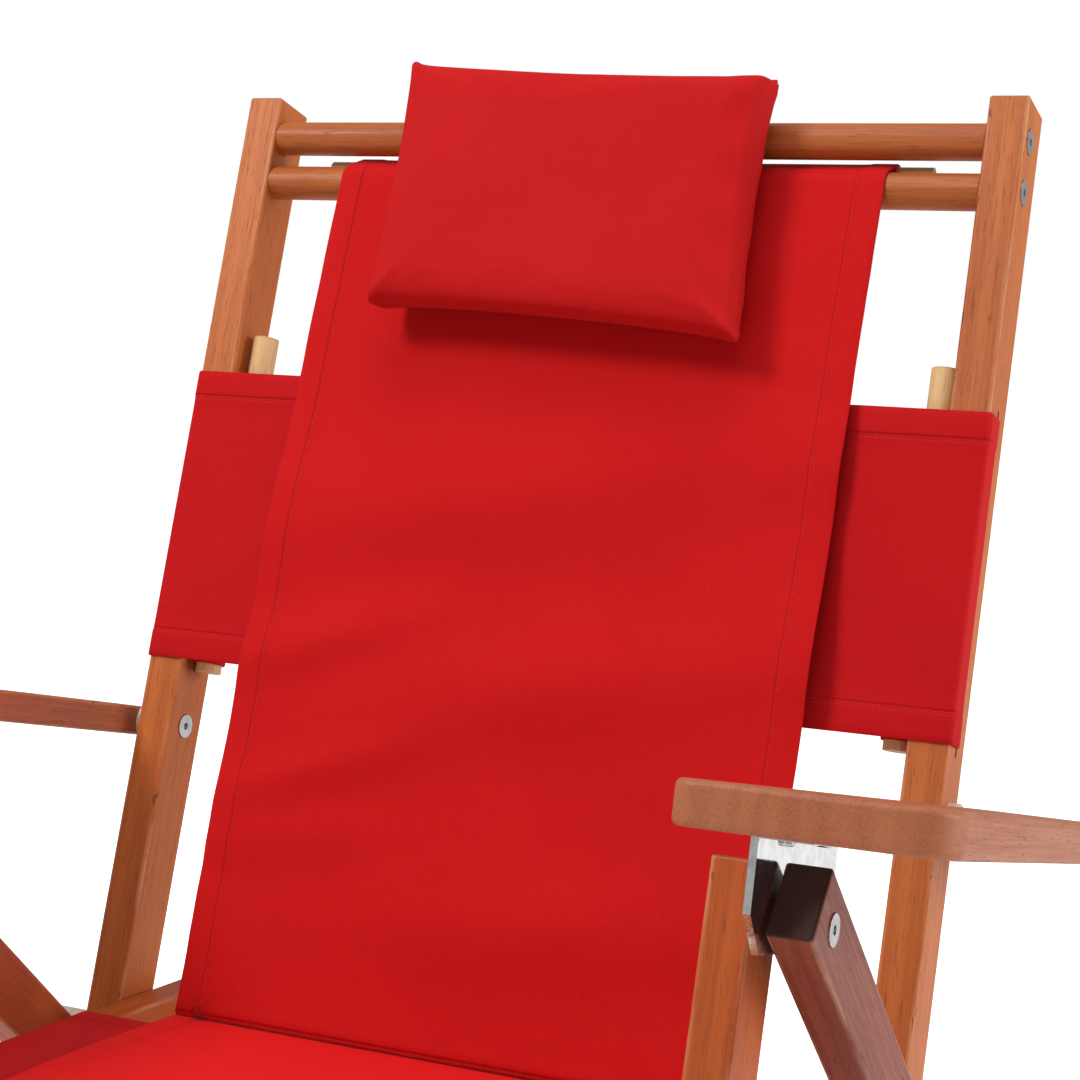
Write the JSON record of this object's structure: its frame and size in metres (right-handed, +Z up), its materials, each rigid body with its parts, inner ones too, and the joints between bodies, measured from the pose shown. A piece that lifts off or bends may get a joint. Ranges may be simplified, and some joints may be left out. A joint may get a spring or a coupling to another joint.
{
  "type": "folding sling chair",
  "caption": "Folding hardwood sling beach chair with paddle arms, crossed legs, red canvas back and seat, side-to-side support bands and a loose head pillow",
  "frame": {"origin": "middle of the bounding box's footprint, on the floor", "axes": "+Z up, -Y the front where the sitter faces, +X the chair's left-hand side seen from behind, which is the right of a front view"},
  "size_m": [0.863, 0.749, 0.9247],
  "materials": {
    "oiled_hardwood": "oiled, fine straight grain",
    "pale_wood": "unfinished pale dowel",
    "canvas": "plain-woven red canvas",
    "pillow_canvas": "soft filled red canvas",
    "polished_steel": "polished stainless plate",
    "zinc_steel": "plated fasteners",
    "nylon": "natural nylon"
  },
  "bodies": {
    "seat_frame": {"left_seat_rail": "oiled_hardwood", "right_seat_rail": "oiled_hardwood", "seat_sling_bar": "oiled_hardwood", "front_seat_rail": "oiled_hardwood", "rear_seat_rail": "oiled_hardwood", "seat_rail_bolts": "zinc_steel", "seat_sling": "canvas", "seat_sling_rod": "pale_wood", "seat_band": "canvas", "left_seat_band_rod": "pale_wood", "right_seat_band_rod": "pale_wood", "seat_pivot_bolts": "zinc_steel", "seat_pivot_washers": "nylon", "seat_pivot_sleeves": "nylon", "seat_pivot_nuts": "zinc_steel", "seat_front_bolts": "zinc_steel", "seat_front_washers": "nylon", "seat_front_nuts": "zinc_steel"},
    "back_frame": {"left_back_post": "oiled_hardwood", "right_back_post": "oiled_hardwood", "upper_back_rail": "oiled_hardwood", "sling_bar": "oiled_hardwood", "back_rail_bolts": "zinc_steel", "back_sling": "canvas", "back_sling_rod": "pale_wood", "back_band": "canvas", "left_back_band_rod": "pale_wood", "right_back_band_rod": "pale_wood", "arm_pivot_bolts": "zinc_steel", "arm_pivot_washers": "nylon"},
    "front_legs": {"left_front_leg": "oiled_hardwood", "right_front_leg": "oiled_hardwood", "front_stretcher": "oiled_hardwood", "front_stretcher_bolts": "zinc_steel", "cross_pivot_bolts": "zinc_steel", "cross_pivot_nuts": "zinc_steel", "cross_pivot_inner_washers": "nylon", "cross_pivot_outer_washers": "nylon"},
    "rear_legs": {"left_rear_leg": "oiled_hardwood", "right_rear_leg": "oiled_hardwood", "rear_stretcher": "oiled_hardwood", "rear_stretcher_bolts": "zinc_steel"},
    "left_arm": {"left_arm": "oiled_hardwood", "left_bracket": "polished_steel", "left_bracket_screws": "zinc_steel", "left_barrel_nut": "zinc_steel"},
    "right_arm": {"right_arm": "oiled_hardwood", "right_bracket": "polished_steel", "right_bracket_screws": "zinc_steel", "right_barrel_nut": "zinc_steel"},
    "pillow": {"pillow": "pillow_canvas", "pillow_loops": "pillow_canvas"}
  },
  "joints": [
    {"name": "fold", "type": "hinge", "parent": "seat_frame", "child": "back_frame", "pos_m": [0, 0.10305, 0.25711], "axis": [1, 0, 0], "range_deg": [0, 90], "deforming": ["back_sling"]},
    {"name": "front_leg_pivot", "type": "hinge", "parent": "seat_frame", "child": "front_legs", "pos_m": [0, -0.24297, 0.30267], "axis": [1, 0, 0], "range_deg": [0, 90]},
    {"name": "rear_leg_pivot", "type": "hinge", "parent": "front_legs", "child": "rear_legs", "pos_m": [0, -0.16413, 0.50805], "axis": [1, 0, 0], "range_deg": [-66.11, 0]},
    {"name": "left_arm_pivot", "type": "hinge", "parent": "back_frame", "child": "left_arm", "pos_m": [0, 0.18189, 0.4625], "axis": [1, 0, 0], "range_deg": [-90, 0]},
    {"name": "right_arm_pivot", "type": "hinge", "parent": "back_frame", "child": "right_arm", "pos_m": [0, 0.18189, 0.4625], "axis": [1, 0, 0], "range_deg": [-90, 0]},
    {"name": "pillow_flip", "type": "hinge", "parent": "back_frame", "child": "pillow", "pos_m": [0, 0.33883, 0.8843], "axis": [1, 0, 0], "range_deg": [-140, 0]}
  ],
  "couplings": [
    {"joint": "front_leg_pivot", "follows": "fold", "ratio": 1},
    {"joint": "rear_leg_pivot", "follows": "fold", "ratio": -0.7345},
    {"joint": "left_arm_pivot", "follows": "fold", "ratio": -1},
    {"joint": "right_arm_pivot", "follows": "fold", "ratio": -1}
  ]
}
